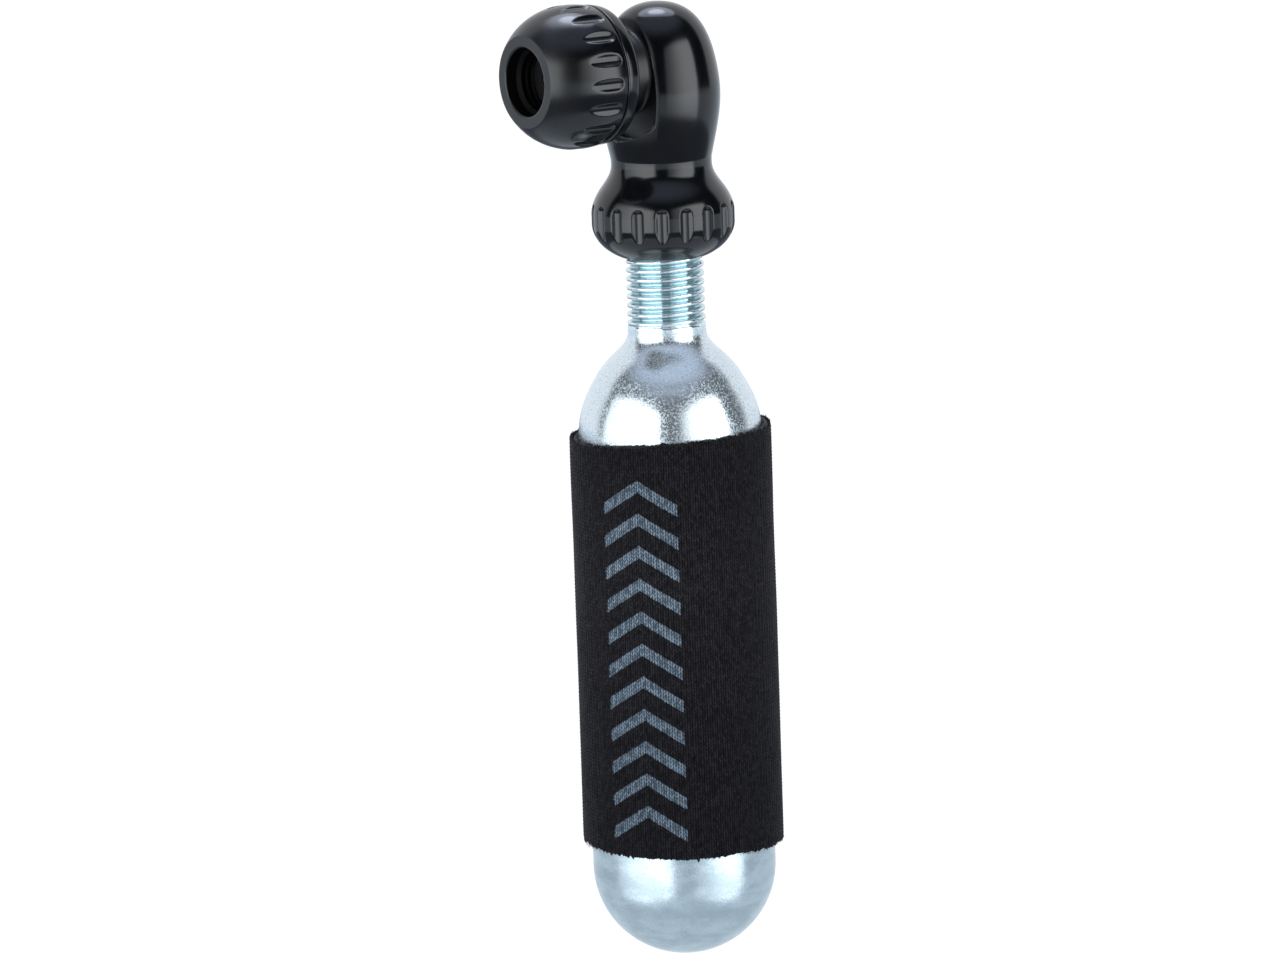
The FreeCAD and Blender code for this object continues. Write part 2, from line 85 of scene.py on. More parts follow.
def spline(points, start_way, end_way, steps=60):
    """Points on a smooth curve through points, leaving and arriving along two ways."""
    p = np.array(points, float)
    gaps = np.linalg.norm(np.diff(p, axis=0), axis=1)
    n = len(p)
    system = np.eye(n)
    known = np.zeros_like(p)
    known[0] = np.array(start_way, float) / np.linalg.norm(start_way)
    known[-1] = np.array(end_way, float) / np.linalg.norm(end_way)
    for i in range(1, n - 1):
        before, after = gaps[i - 1], gaps[i]
        system[i, i - 1:i + 2] = after, 2 * (before + after), before
        known[i] = 3 * (after * (p[i] - p[i - 1]) / before + before * (p[i + 1] - p[i]) / after)
    ways = np.linalg.solve(system, known)
    out = [p[:1]]
    for i in range(n - 1):
        t = np.linspace(0, 1, steps + 1)[1:, None]
        out.append((2 * t**3 - 3 * t**2 + 1) * p[i] + (t**3 - 2 * t**2 + t) * gaps[i] * ways[i]
                   + (3 * t**2 - 2 * t**3) * p[i + 1] + (t**3 - t**2) * gaps[i] * ways[i + 1])
    return np.vstack(out)


def arc(centre, radius, start, end, steps=60):
    """Points on a circular arc, with its angles in degrees."""
    angles = np.radians(np.linspace(start, end, steps + 1))
    return np.stack([centre[0] + radius * np.cos(angles), centre[1] + radius * np.sin(angles)], 1)


def outline(pieces, soften=0.06):
    """One evenly spaced line through several pieces, with its corners slightly rounded."""
    points = np.vstack([np.atleast_2d(np.array(piece, float)) for piece in pieces])
    steps = np.linalg.norm(np.diff(points, axis=0), axis=1)
    points = points[np.concatenate([[True], steps > 1e-7])]
    along = np.concatenate([[0], np.cumsum(np.linalg.norm(np.diff(points, axis=0), axis=1))])
    even = np.linspace(0, along[-1], int(along[-1] / OUTLINE_SPACING) + 2)
    line = np.stack([np.interp(even, along, points[:, k]) for k in (0, 1)], 1)
    reach = int(3 * soften / OUTLINE_SPACING)
    weights = np.exp(-0.5 * (np.arange(-reach, reach + 1) * OUTLINE_SPACING / soften) ** 2)
    weights /= weights.sum()
    padded = np.vstack([2 * line[0] - line[reach:0:-1], line,
                        2 * line[-1] - line[-2:-reach - 2:-1]])
    return np.stack([np.convolve(padded[:, k], weights, "valid") for k in (0, 1)], 1)


def rows_along(line, longest, finer=()):
    """Chosen points of a line: close together where it bends, and inside the finer stretches.

    A finer stretch is (index of the coordinate, from, to, longest step).
    """
    way = np.diff(line, axis=0)
    lengths = np.linalg.norm(way, axis=1)
    heading = np.unwrap(np.arctan2(way[:, 1], way[:, 0]))
    bend = np.abs(np.gradient(heading)) / np.radians(BEND_STEP)
    bend = np.convolve(bend, np.ones(BEND_SMOOTHING) / BEND_SMOOTHING, "same")
    middle = (line[1:] + line[:-1]) / 2
    density = lengths / longest
    for axis, low, high, step in finer:
        inside = (middle[:, axis] > low) & (middle[:, axis] < high)
        density = np.where(inside, lengths / step, density)
    total = np.concatenate([[0], np.cumsum(density + bend)])
    count = max(int(math.ceil(total[-1])), 2)
    wanted = np.linspace(0, total[-1], count + 1)
    return np.stack([np.interp(wanted, total, line[:, k]) for k in (0, 1)], 1)


def smooth_step(value, low, high):
    """0 up to low and 1 from high on, with a smooth rise between them."""
    t = np.clip((value - low) / (high - low), 0, 1)
    return t * t * (3 - 2 * t)


def soft_min(a, b, width):
    """The lower of two surfaces, with the edge between them rounded over width."""
    return np.minimum(a, b) - np.maximum(width - np.abs(a - b), 0) ** 2 / (4 * width)


# ---------------------------------------------------------------- meshes
THREAD_SHARPNESS = 1.7       # 0 is a sine wave, and more is closer to a square one
FLUTE_RUNOUT = 0.02          # share of the cutter's square below which a groove has ended
FLUTE_MISSES = 99.0          # a radius that no surface reaches, where a groove cuts nothing


def mesh_object(name, points, faces, body, replaces=()):
    """A smooth-shaded mesh in the row frame, given in millimetres."""
    mesh = bpy.data.meshes.new(name)
    mesh.from_pydata((np.asarray(points) * MM).tolist(), [], [list(f) for f in faces])
    mesh.validate()
    mesh.shade_smooth()
    piece = bpy.data.objects.new(name, mesh)
    bpy.context.scene.collection.objects.link(piece)
    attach(piece, body)
    if replaces:
        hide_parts(*replaces)
    return piece


def ring_faces(rows, columns, closed, start=0):
    """Quads between rings of points; closed also joins the last ring to the first."""
    faces = []
    for row in range(rows if closed else rows - 1):
        here = start + row * columns
        there = start + ((row + 1) % rows) * columns
        for k in range(columns):
            nxt = (k + 1) % columns
            faces.append((here + k, here + nxt, there + nxt, there + k))
    return faces


def skin(rings, poles=(False, False), closed=False):
    """Points and faces of a surface through rings; a pole closes an end at one point."""
    rings = np.asarray(rings, float)
    rows, columns = rings.shape[:2]
    points = rings.reshape(-1, 3)
    faces = ring_faces(rows, columns, closed)
    extra = []
    for end, wanted in enumerate(poles):
        if wanted:
            ring = rows - 1 if end else 0
            centre = len(points) + len(extra)
            extra.append(rings[ring].mean(0))
            for k in range(columns):
                pair = (ring * columns + k, ring * columns + (k + 1) % columns)
                faces.append((centre, *pair[::-1]) if end == 0 else (centre, *pair))
    if extra:
        points = np.vstack([points, extra])
    corners = np.array([face[:3] for face in faces])
    a, b, c = (points[corners[:, k]] for k in range(3))
    if (a * np.cross(b, c)).sum() < 0:
        faces = [face[::-1] for face in faces]
    return points, faces


def around_cartridge(radius, angle, height):
    """Points round the cartridge's axis; angle runs from +X towards +Y."""
    return np.stack([AXIS_X + radius * np.cos(angle), radius * np.sin(angle),
                     np.broadcast_to(height, np.shape(radius))], -1)


def around_chuck(radius, angle, along):
    """Points round the chuck's axis; angle runs from -Z towards +Y."""
    return np.stack([np.broadcast_to(along, np.shape(radius)), radius * np.sin(angle),
                     -radius * np.cos(angle)], -1)


def angles(columns):
    """Evenly spaced angles round an axis."""
    return np.arange(columns) * TAU / columns


def thread_height(along, angle, pitch, crest_at):
    """1 on a right-hand thread's crest and 0 in its root."""
    turns = (along - crest_at) / pitch - angle / TAU
    wave = np.cos(TAU * turns)
    return 0.5 + 0.5 * np.tanh(THREAD_SHARPNESS * wave) / math.tanh(THREAD_SHARPNESS)


def flute(radius, along, angle, phase, low, high, depth, cutter_r, outer_r, edge):
    """A surface's radius after round-ended grooves are scooped from it."""
    pitch = TAU / FLUTES
    off = (angle - phase + pitch / 2) % pitch - pitch / 2
    centre_r = outer_r - depth + cutter_r
    beyond = np.maximum(0, np.maximum(low - along, along - high))
    reach = cutter_r**2 - (centre_r * np.sin(off)) ** 2 - beyond**2
    cut = np.where(reach > FLUTE_RUNOUT * cutter_r**2,
                   centre_r * np.cos(off) - np.sqrt(np.maximum(reach, 0)), FLUTE_MISSES)
    return soft_min(radius, cut, edge)


# ---------------------------------------------------------------- head
HEAD_COLUMNS = 432
TOP_Z = HEAD_HIGH[2]
COLLAR_R = 8.52
COLLAR_END_Z = -22.45
NECK_R = 6.0
NECK_Z = -11.0
BULB_R = 7.27
SOCKET_R = 4.3
SOCKET_GROOVE_R = 4.81
SOCKET_TOP_Z = -13.0
SOCKET_CHAMFER = 0.7
SEAT_R = 4.0
SEAT_TOP_Z = -8.4
GAS_WAY_R = 1.2
GAS_WAY_TOP_Z = -1.0
COLLAR_FLUTE_Z = (-20.35, -16.05)
COLLAR_FLUTE_R = 0.86
COLLAR_FLUTE_DEPTH = 0.5
COLLAR_FLUTE_PHASE = math.radians(270.0 - 15.2)
COLLAR_FLUTE_EDGE = 0.07     # rounding along a groove's edge
COLLAR_FLUTE_END = 0.3       # how far its round end is drawn in, as a share of its cutter
FACE_X = 14.6                # the flat that the chuck's neck stands on
FACE_R = 8.2
FACE_EDGE = 0.16
FACE_BLEND = 0.06
FACE_FOOT_Z = (-8.4, -7.0)   # where the flat runs out into the bulb
BOSS_R = 4.9
BOSS_FILLET = 0.5
BOSS_SINK = 0.3              # how far the neck reaches into the head
BOSS_CORE_R = 2.0
BOSS_COLUMNS = 144
NECK_THREAD_PITCH = 25.4 / 24.0
NECK_THREAD_END = -30.9


def head_line():
    """The head's outside, then up its threaded socket to the seat: (radius, height)."""
    bulb = spline([(0, TOP_Z), (2.2, 7.58), (4.2, 6.44), (5.84, 4.15), (6.90, 0.65),
                   (BULB_R, -2.4), (7.20, -4.6), (6.65, -7.9), (NECK_R + 0.02, NECK_Z + 0.25)],
                  (1, 0), (-0.2, -1))
    flare = spline([(NECK_R, NECK_Z - 0.25), (6.08, -12.05), (6.55, -13.1), (7.5, -14.45),
                    (8.22, -15.8), (COLLAR_R, -17.2)], (0, -1), (0, -1))
    belly = spline([(COLLAR_R, -18.5), (8.33, -19.5), (7.74, -20.6), (7.20, -21.2),
                    (6.35, -21.85), (5.2, COLLAR_END_Z)], (0, -1), (-1, -0.4))
    return [bulb, flare, belly,
            [(SOCKET_R + SOCKET_CHAMFER, COLLAR_END_Z), (SOCKET_R, COLLAR_END_Z + SOCKET_CHAMFER)],
            [(SOCKET_R, SOCKET_TOP_Z), (SEAT_R, SOCKET_TOP_Z), (SEAT_R, SEAT_TOP_Z)],
            [(GAS_WAY_R, SEAT_TOP_Z), (GAS_WAY_R, GAS_WAY_TOP_Z), (0.05, GAS_WAY_TOP_Z)]]


def head():
    """The elbow with its fluted collar and threaded socket, and the neck behind the chuck."""
    line = rows_along(outline(head_line()), 0.22, finer=[
        (1, COLLAR_FLUTE_Z[0] - 0.65, COLLAR_FLUTE_Z[1] + 0.45, 0.12), (1, *FACE_FOOT_Z, 0.07)])
    angle = angles(HEAD_COLUMNS)[None, :]
    height = line[:, 1][:, None]
    first_inside = int(np.argmin(line[:, 1]))
    outside = (np.arange(len(line)) <= first_inside)[:, None]
    radius = np.broadcast_to(line[:, 0][:, None], (len(line), HEAD_COLUMNS))
    cap = 2 * COLLAR_FLUTE_R * COLLAR_FLUTE_END
    fluted = flute(radius, height, angle, COLLAR_FLUTE_PHASE,
                   COLLAR_FLUTE_Z[0] + cap, COLLAR_FLUTE_Z[1] - cap,
                   COLLAR_FLUTE_DEPTH, COLLAR_FLUTE_R, COLLAR_R, COLLAR_FLUTE_EDGE)
    ridge = thread_height(height, angle, NECK_THREAD_PITCH,
                          NECK_THREAD_END + NECK_THREAD_PITCH / 2)
    in_thread = (smooth_step(height, COLLAR_END_Z + 0.3, COLLAR_END_Z + 1.2)
                 * (1 - smooth_step(height, SOCKET_TOP_Z - 0.9, SOCKET_TOP_Z - 0.1)))
    threaded = radius + (SOCKET_GROOVE_R - SOCKET_R) * (1 - ridge) * in_thread
    near_bore = np.abs(radius - SOCKET_R) < 0.35
    radius = np.where(outside, fluted, np.where(near_bore, threaded, radius))
    rings = around_cartridge(radius, angle, height)
    spread = np.hypot(rings[..., 1], rings[..., 2])
    within = 1 - smooth_step(spread, FACE_R - FACE_BLEND, FACE_R + FACE_BLEND)
    flat_x = -soft_min(-rings[..., 0], np.full(radius.shape, -FACE_X), FACE_EDGE)
    upper = outside & (height > NECK_Z)
    rings[..., 0] = np.where(upper, rings[..., 0] + (flat_x - rings[..., 0]) * within,
                             rings[..., 0])
    points, faces = skin(rings, poles=(True, True))
    boss_line = rows_along(outline([
        [(RING_HIGH[0], BOSS_CORE_R), (RING_HIGH[0], BOSS_R), (FACE_X - BOSS_FILLET, BOSS_R)],
        arc((FACE_X - BOSS_FILLET, BOSS_R + BOSS_FILLET), BOSS_FILLET, 270, 360, 12),
        [(FACE_X + BOSS_SINK, BOSS_R + BOSS_FILLET), (FACE_X + BOSS_SINK, BOSS_CORE_R)]]), 0.6)
    boss = around_chuck(np.repeat(boss_line[:, 1][:, None], BOSS_COLUMNS, 1),
                        angles(BOSS_COLUMNS)[None, :], boss_line[:, 0][:, None])
    boss_points, boss_faces = skin(boss, poles=(True, True))
    shift = len(points)
    faces += [tuple(k + shift for k in face) for face in boss_faces]
    return mesh_object("head_elbow", np.vstack([points, boss_points]), faces, "head",
                       ["head_shell"])


# ---------------------------------------------------------------- ball chuck and ring
BALL_COLUMNS = 432
BALL_R = BALL_HIGH[2]
BALL_END_X = BALL_HIGH[0]
BALL_X = 6.55
BALL_FACE_R = 5.5
BALL_END_R = 8.32
BALL_BORE_R = 4.67
BALL_GROOVE_R = 5.11
BALL_THREAD_X = 6.35         # where the spigot's thread starts inside the ball
BALL_THREAD_END_X = 8.6
GASKET_POCKET_R = 4.3
MOUTH_CHAMFER = 0.12
BALL_FLUTE_R = 1.05
BALL_FLUTE_DEPTH = 0.36
BALL_FLUTE_X = (3.9, 7.75)
BALL_FLUTE_PHASE = math.radians(-(90.0 - 2.2))
SPIGOT_PITCH = 1.0
SPIGOT_CREST_X = 5.3
VALVE_PITCH = 25.4 / 32.0
VALVE_CREST_R = 3.52
VALVE_ROOT_R = 3.93
VALVE_END_X = 5.0


def ball():
    """The chuck: a fluted ball, the valve's thread in its mouth and the spigot's behind it."""
    mouth_r, mouth_x = MOUTH["r_mm"], MOUTH["length_mm"]
    face_angle = math.degrees(math.atan2(BALL_FACE_R, -BALL_X))
    line = outline([
        [(0, mouth_r + MOUTH_CHAMFER), (0, BALL_FACE_R - 0.02)],
        arc((BALL_X, 0), BALL_R, face_angle, 90, 120),
        spline([(BALL_X, BALL_R), (BALL_END_X - 0.12, BALL_END_R)], (1, 0), (1, -0.18)),
        [(BALL_END_X, BALL_END_R - 0.12), (BALL_END_X, BALL_GROOVE_R + 0.2),
         (BALL_THREAD_END_X, BALL_BORE_R), (BALL_THREAD_X, BALL_BORE_R),
         (BALL_THREAD_X, GASKET_POCKET_R), (VALVE_END_X, GASKET_POCKET_R),
         (VALVE_END_X, VALVE_CREST_R), (mouth_x + 0.35, VALVE_CREST_R), (mouth_x, mouth_r),
         (MOUTH_CHAMFER, mouth_r), (0, mouth_r + MOUTH_CHAMFER)]], 0.05)
    line = rows_along(line, 0.2, finer=[(0, 3.2, 8.7, 0.14)])[:-1]
    angle = angles(BALL_COLUMNS)[None, :]
    along = line[:, 0][:, None]
    radius = np.broadcast_to(line[:, 1][:, None], (len(line), BALL_COLUMNS))
    outside = radius > BALL_FACE_R + 0.2
    fluted = flute(radius, along, angle, BALL_FLUTE_PHASE, *BALL_FLUTE_X,
                   BALL_FLUTE_DEPTH, BALL_FLUTE_R, BALL_R, 0.05)
    valve = thread_height(along, angle, VALVE_PITCH, mouth_x + VALVE_PITCH / 2)
    valve_part = (smooth_step(along, mouth_x + 0.3, mouth_x + 0.9)
                  * (1 - smooth_step(along, VALVE_END_X - 0.7, VALVE_END_X - 0.05)))
    valve_wall = radius + (VALVE_ROOT_R - VALVE_CREST_R) * (1 - valve) * valve_part
    spigot = thread_height(along, angle, SPIGOT_PITCH, SPIGOT_CREST_X + SPIGOT_PITCH / 2)
    spigot_part = (smooth_step(along, BALL_THREAD_X + 0.05, BALL_THREAD_X + 0.3)
                   * (1 - smooth_step(along, BALL_THREAD_END_X - 0.4, BALL_THREAD_END_X)))
    spigot_wall = radius + (BALL_GROOVE_R - BALL_BORE_R) * (1 - spigot) * spigot_part
    radius = np.where(outside, fluted,
                      np.where(np.abs(radius - VALVE_CREST_R) < 0.1, valve_wall,
                               np.where(np.abs(radius - BALL_BORE_R) < 0.1, spigot_wall, radius)))
    points, faces = skin(around_chuck(radius, angle, along), closed=True)
    return mesh_object("chuck_ball_body", points, faces, "chuck",
                       ["chuck_ball"])


RING_MOUTH_R = 5.25
RING_BACK_R = 5.0
RING_BORE_R = 4.2
RING_COLUMNS = 288


def rear_ring():
    """The smooth ring that stands behind the ball."""
    start, end, top = RING_LOW[0], RING_HIGH[0], RING_HIGH[2]
    line = outline([
        [(start, RING_MOUTH_R), (start, top - 0.15)],
        spline([(start + 0.15, top), (10.2, 8.2), (10.85, 7.95), (11.2, 7.5), (end, 6.95)],
               (1, -0.02), (0.02, -1)),
        [(end, RING_BACK_R), (end - 0.7, RING_BACK_R), (end - 0.7, RING_BORE_R),
         (start + 0.6, RING_BORE_R), (start + 0.6, RING_MOUTH_R), (start, RING_MOUTH_R)]], 0.05)
    line = rows_along(line, 0.25)[:-1]
    radius = np.repeat(line[:, 1][:, None], RING_COLUMNS, 1)
    points, faces = skin(around_chuck(radius, angles(RING_COLUMNS)[None, :],
                                      line[:, 0][:, None]), closed=True)
    return mesh_object("chuck_ring", points, faces, "head",
                       ["chuck_rear_ring"])


# ---------------------------------------------------------------- cartridge
CART_COLUMNS = 240
CART_R = CART_HIGH[0] - AXIS_X
BASE_Z = CART_LOW[2]
NECK_TOP_Z = CART_HIGH[2]
NECK_CREST_R = 4.70
NECK_ROOT_R = 4.10
NECK_TIP_R = 3.85
NECK_CHAMFER = 0.95
NECK_FOOT_Z = -31.9          # where the neck opens into the shoulder
NECK_BORE_R = 2.4
NECK_BORE_DEPTH = 14.0
CAP_RECESS_R = 3.25
CAP_RECESS_DEPTH = 0.5
DRAWN_RING_Z = -37.3         # a faint ring left by the drawing die
DRAWN_RING_DEPTH = 0.035
DRAWN_RING_WIDTH = 0.35


def cartridge():
    """The gas bottle: threaded neck, drawn shoulder, straight side and round base."""
    bore_z, recess_z = NECK_TOP_Z - NECK_BORE_DEPTH, NECK_TOP_Z - CAP_RECESS_DEPTH
    line = outline([
        [(0, bore_z), (NECK_BORE_R, bore_z), (NECK_BORE_R, recess_z), (CAP_RECESS_R, recess_z),
         (CAP_RECESS_R, NECK_TOP_Z), (NECK_TIP_R, NECK_TOP_Z),
         (NECK_CREST_R, NECK_TOP_Z - NECK_CHAMFER), (NECK_CREST_R, NECK_FOOT_Z)],
        spline([(NECK_CREST_R, NECK_FOOT_Z), (7.0, -34.75), (9.3, -37.95), (10.75, -41.8),
                (CART_R, -45.4)], (0.25, -1), (0, -1)),
        arc((0, BASE_Z + CART_R), CART_R, 0, -90, 120)], 0.05)
    line = rows_along(line, 0.6, finer=[(1, NECK_THREAD_END - 0.6, NECK_TOP_Z, 0.07)])
    angle = angles(CART_COLUMNS)[None, :]
    height = line[:, 1][:, None]
    radius = np.broadcast_to(line[:, 0][:, None], (len(line), CART_COLUMNS))
    ridge = thread_height(height, angle, NECK_THREAD_PITCH, NECK_THREAD_END)
    depth = smooth_step(height, NECK_THREAD_END + 0.05, NECK_THREAD_END + 0.75)
    threaded = soft_min(radius, NECK_CREST_R - (NECK_CREST_R - NECK_ROOT_R) * (1 - ridge) * depth,
                        0.08)
    on_neck = (radius > NECK_TIP_R - 0.25) & (height > NECK_FOOT_Z + 0.3)
    drawn_ring = DRAWN_RING_DEPTH * np.exp(-((height - DRAWN_RING_Z) / DRAWN_RING_WIDTH) ** 2)
    radius = np.where(on_neck, threaded, radius - drawn_ring * (radius > NECK_CREST_R + 1.3))
    points, faces = skin(around_cartridge(radius, angle, height), poles=(True, True))
    return mesh_object("cartridge_bottle", points, faces, "cartridge",
                       ["cartridge_shell"])


# ---------------------------------------------------------------- sleeve
SLEEVE_TOP_Z = -43.65
SLEEVE_BOTTOM_Z = -93.4
SLEEVE_TOP_TILT = math.radians(2.6)
SLEEVE_BOTTOM_TILT = math.radians(-1.1)
SLEEVE_IN_R = CART_R + 0.06
LINING = 0.16
FOAM = 0.60
FACE = 0.24                  # thickness of the knit face
KNIT_R = SLEEVE_IN_R + LINING + FOAM + FACE
CLOTH_COLUMNS, CLOTH_ROWS, INNER_ROWS = 216, 60, 26
LIP = 0.004                  # share of the height that a cut rim is rounded over
WALES = 123                  # columns of stitches round the sleeve
COURSE = 0.44                # height of a stitch
LEAN = 1.1                   # how far a stitch's leg climbs, in courses
PER_WALE = 5
PER_COURSE = 3
RELIEF = 0.2
RIM_WAVES = ((3, 0.12), (7, 0.06), (17, 0.03), (67, 0.03), (111, 0.03))     # count, size
RIM_FRAY = 0.17
SWAYS = ((5, 0.11), (9, -0.17), (2, 0.31), (14, 0.4))       # count round the sleeve, lean
SWAY = 0.012
SLEEVE_SIDE = math.radians(33.0)        # from +X towards -Y, the way that the rims tilt
SLEEVE_RIGHT = np.array([math.cos(SLEEVE_SIDE), -math.sin(SLEEVE_SIDE)])


def rim(angle, top, ragged=0.0, seed=0):
    """Height of one of the sleeve's cut rims; ragged scales its waves and fraying."""
    side = KNIT_R * (np.cos(angle) * SLEEVE_RIGHT[0] + np.sin(angle) * SLEEVE_RIGHT[1])
    level = SLEEVE_TOP_Z if top else SLEEVE_BOTTOM_Z
    tilt = SLEEVE_TOP_TILT if top else SLEEVE_BOTTOM_TILT
    wave = np.zeros(np.shape(angle))
    draw = np.random.default_rng(seed)
    for count, size in RIM_WAVES:
        wave = wave + size * np.sin(count * angle + draw.uniform(0, TAU))
    fray = np.convolve(draw.normal(0, RIM_FRAY, np.size(angle) + 2), (0.2, 0.6, 0.2), "valid")
    wave = wave + np.abs(fray) * (1 if top else -1)
    return level + math.tan(tilt) * side + ragged * wave


def knit_height(turn, height):
    """Relief of plain knit: two leaning legs of yarn in each wale, stacked in courses."""
    half = np.abs((turn * WALES) % 1.0 * 2 - 1)
    strand = (height / COURSE - LEAN * half) % 1.0
    return np.sin(math.pi * half) ** 0.6 * (0.35 + 0.65 * np.sin(math.pi * strand))


def sleeve_tube(name, inner_r, outer_r, columns, rows, replaces, seed, relief=None):
    """A closed tube between the two cut rims, with rounded lips."""
    angle = angles(columns)
    low, high = rim(angle, False, 1.0, seed), rim(angle, True, 1.0, seed + 1)
    share = np.linspace(0, 1, rows)[:, None]
    lip = smooth_step(share, 0, LIP) * smooth_step(1 - share, 0, LIP)
    height = low + (high - low) * share
    outer = np.broadcast_to(inner_r + (outer_r - inner_r) * (0.6 + 0.4 * lip), height.shape)
    if relief is not None:
        outer = outer + relief(angle[None, :], height) * lip
    inner_share = np.linspace(1, 0, INNER_ROWS)[:, None]
    inner_height = low + (high - low) * inner_share
    inner = np.full(inner_height.shape, inner_r)
    radius = np.vstack([outer, inner])
    heights = np.vstack([height, inner_height])
    rings = around_cartridge(radius, angle[None, :], heights)
    points, faces = skin(rings, closed=True)
    return mesh_object(name, points, faces, "sleeve", replaces)


def knit_relief(angle, height):
    """The knit's relief, with the slow unevenness of stretched cloth."""
    thick = RELIEF * (knit_height(angle / TAU, height) - 0.8)
    draw = np.random.default_rng(3)
    sway = sum(SWAY * np.sin(count * angle + height * lean + draw.uniform(0, TAU))
               for count, lean in SWAYS)
    return thick + sway


def sleeve():
    """The sleeve's three bonded layers, from the inside out."""
    rows = int((SLEEVE_TOP_Z - SLEEVE_BOTTOM_Z) / COURSE * PER_COURSE)
    lining = sleeve_tube("sleeve_lining_cloth", SLEEVE_IN_R, SLEEVE_IN_R + LINING,
                         CLOTH_COLUMNS, CLOTH_ROWS, ["sleeve_lining"], seed=11)
    foam = sleeve_tube("sleeve_foam_core", SLEEVE_IN_R + LINING, SLEEVE_IN_R + LINING + FOAM,
                       CLOTH_COLUMNS, CLOTH_ROWS, ["sleeve_foam"], seed=21)
    face = sleeve_tube("sleeve_knit_skin", KNIT_R - FACE, KNIT_R, WALES * PER_WALE, rows,
                       ["sleeve_knit_face"], seed=31, relief=knit_relief)
    return lining, foam, face


RIM_FIBRES = 420             # along each cut rim
FACE_FIBRES = 1500
FIBRE_TAPER = ((0.0, 1.0), (0.5, 0.8), (1.0, 0.35))     # place along a fibre, its thickness there


def fuzz():
    """Short loose fibres: standing off the knit, and thicker along its two cut rims."""
    points, faces = [], []

    def hair(root, way, length, thickness):
        side = np.cross(way, (0.3, 0.5, 0.8))
        side /= np.linalg.norm(side)
        other = np.cross(way, side)
        bend = DRAW.normal(0, 0.3, 2)
        start = len(points)
        for step, size in FIBRE_TAPER:
            middle = root + way * length * step + (side * bend[0] + other * bend[1]) * (
                length * step * step)
            for k in range(3):
                turn = TAU * k / 3
                points.append(middle + thickness * size * (side * math.cos(turn)
                                                           + other * math.sin(turn)))
        faces.extend([(start + 2, start + 1, start), (start + 6, start + 7, start + 8)])
        for ring in (start, start + 3):
            faces.extend((ring + k, ring + (k + 1) % 3, ring + 3 + (k + 1) % 3, ring + 3 + k)
                         for k in range(3))

    def frame_at(angle):
        out = np.array([math.cos(angle), math.sin(angle), 0.0])
        return out, np.array([-out[1], out[0], 0.0]), np.array([0.0, 0.0, 1.0])

    for top in (True, False):
        for angle in DRAW.uniform(0, TAU, RIM_FIBRES):
            out, tangent, up = frame_at(angle)
            level = float(rim(np.array([angle]), top, 0.0)[0])
            radius = DRAW.uniform(KNIT_R - FACE, KNIT_R - 0.05)
            root = np.array([AXIS_X, 0, level]) + out * radius
            way = (up * (1 if top else -1) + tangent * DRAW.normal(0, 0.5)
                   + out * DRAW.normal(0, 0.12))
            hair(root, way / np.linalg.norm(way), DRAW.uniform(0.12, 0.42),
                 DRAW.uniform(0.025, 0.06))
    for angle in DRAW.uniform(0, TAU, FACE_FIBRES):
        out, tangent, up = frame_at(angle)
        level = DRAW.uniform(SLEEVE_BOTTOM_Z + 0.6, SLEEVE_TOP_Z - 0.6)
        root = np.array([AXIS_X, 0, level]) + out * (KNIT_R - 0.08)
        way = (out * DRAW.uniform(0.25, 0.8) + tangent * DRAW.normal(0, 0.7)
               + up * DRAW.normal(0, 0.7))
        hair(root, way / np.linalg.norm(way), DRAW.uniform(0.15, 0.35),
             DRAW.uniform(0.012, 0.022))
    return mesh_object("sleeve_fibres", np.array(points), faces, "sleeve")


PRINT_MIDDLE = math.radians(270.0 - 53.1)       # the angle that the chevrons are centred on


def place_on_sleeve(piece):
    """Stores each point's place on the unrolled sleeve: across, up, and which wale it is in."""
    mesh = piece.data
    co = np.zeros(len(mesh.vertices) * 3, np.float32)
    mesh.vertices.foreach_get("co", co)
    co = co.reshape(-1, 3) / MM
    angle = np.arctan2(co[:, 1], co[:, 0] - AXIS_X) - PRINT_MIDDLE
    angle = (angle + math.pi) % TAU - math.pi
    place = np.stack([angle * KNIT_R, co[:, 2], (angle + PRINT_MIDDLE) / TAU * WALES], 1)
    attribute = mesh.attributes.new("sleeve_place", "FLOAT_VECTOR", "POINT")
    attribute.data.foreach_set("vector", place.astype(np.float32).ravel())


